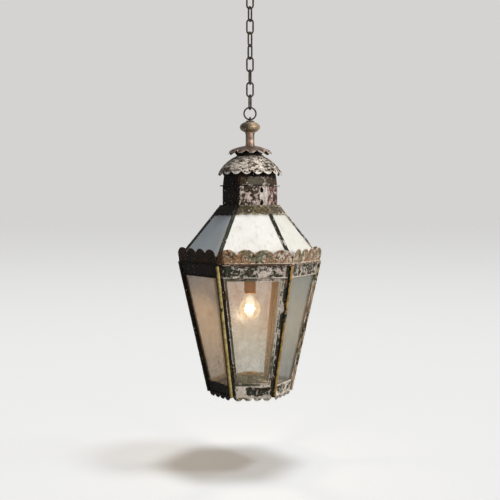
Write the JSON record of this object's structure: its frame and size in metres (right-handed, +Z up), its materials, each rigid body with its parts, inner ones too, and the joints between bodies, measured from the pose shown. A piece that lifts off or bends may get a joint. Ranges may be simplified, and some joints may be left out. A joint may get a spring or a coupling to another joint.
{
  "type": "hanging lantern",
  "caption": "Tapered six-sided copper lantern with a glazed door, opal glass roof, vent drum, scalloped caps and an electric lamp, hung from a ceiling hook by a chain.",
  "frame": {"origin": "middle of the ceiling plate's upper face, where it meets the ceiling", "axes": "+Z up along the chain, -Y out through the side with the door, +X to the right seen from there"},
  "size_m": [0.4082, 0.3596, 1.159],
  "materials": {
    "ceiling_plate": "dark bronze-brown, rubbed",
    "ceiling_hook": "dark bronze-brown, rubbed",
    "chain_link_1": "dark bronze-brown, rubbed",
    "chain_link_2": "dark bronze-brown, rubbed",
    "chain_link_3": "dark bronze-brown, rubbed",
    "chain_link_4": "dark bronze-brown, rubbed",
    "chain_link_5": "dark bronze-brown, rubbed",
    "chain_link_6": "dark bronze-brown, rubbed",
    "chain_link_7": "dark bronze-brown, rubbed",
    "chain_link_8": "dark bronze-brown, rubbed",
    "chain_link_9": "dark bronze-brown, rubbed",
    "hanging_ring": "dark bronze",
    "eye_bolt": "worn bronze with rubbed highlights",
    "finial_knob": "worn bronze with rubbed highlights",
    "stem_tube": "red-brown, dark on one side",
    "small_cap": "grey-brown with light rims",
    "cap_neck": "black",
    "dome_cap": "old white paint, flaking over brown",
    "spacer_tube": "dull steel",
    "bridge_bar": "dull steel",
    "coupling_nut": "aged brass",
    "upper_drum": "copper brown with red, white and green flakes",
    "drum_ridge": "dark green paint, flaking",
    "vent_drum": "copper brown with red, white and green flakes",
    "cord_inlet_bush": "black",
    "roof_collar": "dark green paint, flaking",
    "roof_apron": "yellow-brown over olive",
    "roof_ribs": "dark green paint, flaking",
    "roof_panes": "opal white",
    "eave_ring": "dark green paint, flaking",
    "crown_plates": "copper brown with red, white and green flakes",
    "crown_moulding": "copper brown with red, white and green flakes",
    "frieze": "dark green paint, flaking",
    "frieze_wires": "old white paint, flaking over brown",
    "corner_posts": "dark green paint, flaking",
    "corner_beads": "dull gold, worn",
    "side_panes": "dusty and speckled",
    "bottom_rail": "dark green paint, flaking",
    "foot_wires": "old white paint, flaking over brown",
    "bottom_border": "copper brown with red, white and green flakes",
    "floor_plate": "dark green paint, flaking",
    "candle_pan": "worn bronze with rubbed highlights",
    "door_frame": "dark green paint, flaking",
    "door_pane": "dusty and speckled",
    "door_hinge_leaves": "dull gold, worn",
    "post_hinge_leaves": "dull gold, worn",
    "hinge_pins": "aged brass",
    "turn_button": "dark bronze-brown, rubbed",
    "button_rivet": "aged brass",
    "lamp_tube": "aged brass",
    "inner_lead": "black",
    "holder_cap": "aged brass",
    "holder_shell": "aged brass",
    "holder_core": "porcelain white",
    "bulb_glass": "clear",
    "bulb_cap": "bare metal",
    "bulb_mount": "clear",
    "bulb_filament": "glowing"
  },
  "bodies": {
    "ceiling": {"ceiling_plate": "ceiling_plate", "ceiling_hook": "ceiling_hook"},
    "link_1": {"chain_link_1": "chain_link_1"},
    "link_2": {"chain_link_2": "chain_link_2"},
    "link_3": {"chain_link_3": "chain_link_3"},
    "link_4": {"chain_link_4": "chain_link_4"},
    "link_5": {"chain_link_5": "chain_link_5"},
    "link_6": {"chain_link_6": "chain_link_6"},
    "link_7": {"chain_link_7": "chain_link_7"},
    "link_8": {"chain_link_8": "chain_link_8"},
    "link_9": {"chain_link_9": "chain_link_9"},
    "ring": {"hanging_ring": "hanging_ring"},
    "lantern": {"eye_bolt": "eye_bolt", "finial_knob": "finial_knob", "stem_tube": "stem_tube", "small_cap": "small_cap", "cap_neck": "cap_neck", "dome_cap": "dome_cap", "spacer_tube": "spacer_tube", "bridge_bar": "bridge_bar", "coupling_nut": "coupling_nut", "upper_drum": "upper_drum", "drum_ridge": "drum_ridge", "vent_drum": "vent_drum", "cord_inlet_bush": "cord_inlet_bush", "roof_collar": "roof_collar", "roof_apron": "roof_apron", "roof_ribs": "roof_ribs", "roof_panes": "roof_panes", "eave_ring": "eave_ring", "crown_plates": "crown_plates", "crown_moulding": "crown_moulding", "frieze": "frieze", "frieze_wires": "frieze_wires", "corner_posts": "corner_posts", "corner_beads": "corner_beads", "side_panes": "side_panes", "bottom_rail": "bottom_rail", "foot_wires": "foot_wires", "bottom_border": "bottom_border", "floor_plate": "floor_plate", "candle_pan": "candle_pan", "post_hinge_leaves": "post_hinge_leaves", "hinge_pins": "hinge_pins", "button_rivet": "button_rivet", "lamp_tube": "lamp_tube", "inner_lead": "inner_lead", "holder_cap": "holder_cap", "holder_shell": "holder_shell", "holder_core": "holder_core"},
    "door": {"door_frame": "door_frame", "door_pane": "door_pane", "door_hinge_leaves": "door_hinge_leaves"},
    "button": {"turn_button": "turn_button"},
    "bulb": {"bulb_glass": "bulb_glass", "bulb_cap": "bulb_cap", "bulb_mount": "bulb_mount", "bulb_filament": "bulb_filament"}
  },
  "joints": [
    {"name": "link_1_swing", "type": "hinge", "parent": "ceiling", "child": "link_1", "pos_m": [0, 0, -0.049], "axis": [0, 1, 0], "range_deg": [-15, 15]},
    {"name": "link_2_swing", "type": "hinge", "parent": "link_1", "child": "link_2", "pos_m": [0, 0, -0.0833], "axis": [0.9848, -0.1736, 0], "range_deg": [-15, 15]},
    {"name": "link_3_swing", "type": "hinge", "parent": "link_2", "child": "link_3", "pos_m": [0, 0, -0.118], "axis": [0.5299, 0.848, 0], "range_deg": [-15, 15]},
    {"name": "link_4_swing", "type": "hinge", "parent": "link_3", "child": "link_4", "pos_m": [0, 0, -0.1527], "axis": [0.9781, -0.2079, 0], "range_deg": [-15, 15]},
    {"name": "link_5_swing", "type": "hinge", "parent": "link_4", "child": "link_5", "pos_m": [0, 0, -0.1874], "axis": [0.5878, 0.809, 0], "range_deg": [-15, 15]},
    {"name": "link_6_swing", "type": "hinge", "parent": "link_5", "child": "link_6", "pos_m": [0, 0, -0.2221], "axis": [-0.5, 0.866, 0], "range_deg": [-15, 15]},
    {"name": "link_7_swing", "type": "hinge", "parent": "link_6", "child": "link_7", "pos_m": [0, 0, -0.2568], "axis": [-0.9945, -0.1045, 0], "range_deg": [-15, 15]},
    {"name": "link_8_swing", "type": "hinge", "parent": "link_7", "child": "link_8", "pos_m": [0, 0, -0.2915], "axis": [-0.309, -0.9511, 0], "range_deg": [-15, 15]},
    {"name": "link_9_swing", "type": "hinge", "parent": "link_8", "child": "link_9", "pos_m": [0, 0, -0.3262], "axis": [-0.9976, 0.0698, 0], "range_deg": [-15, 15]},
    {"name": "ring_swing", "type": "hinge", "parent": "link_9", "child": "ring", "pos_m": [0, 0, -0.3609], "axis": [-0.225, 0.9744, 0], "range_deg": [-15, 15]},
    {"name": "lantern_swing", "type": "hinge", "parent": "ring", "child": "lantern", "pos_m": [0, 0, -0.3892], "axis": [1, 0, 0], "range_deg": [-15, 15]},
    {"name": "door_hinge", "type": "hinge", "parent": "lantern", "child": "door", "pos_m": [-0.06359, -0.13634, -0.97197], "axis": [0.1092, 0.1892, -0.9758], "range_deg": [0, 110]},
    {"name": "button_turn", "type": "hinge", "parent": "lantern", "child": "button", "pos_m": [0.0214, -0.10562, -1.12413], "axis": [0, -0.9817, -0.1904], "range_deg": [0, 90]},
    {"name": "bulb_slide", "type": "slide", "parent": "lantern", "child": "bulb", "axis": [0, 0, 1], "range_m": [-0.03, 0]}
  ]
}
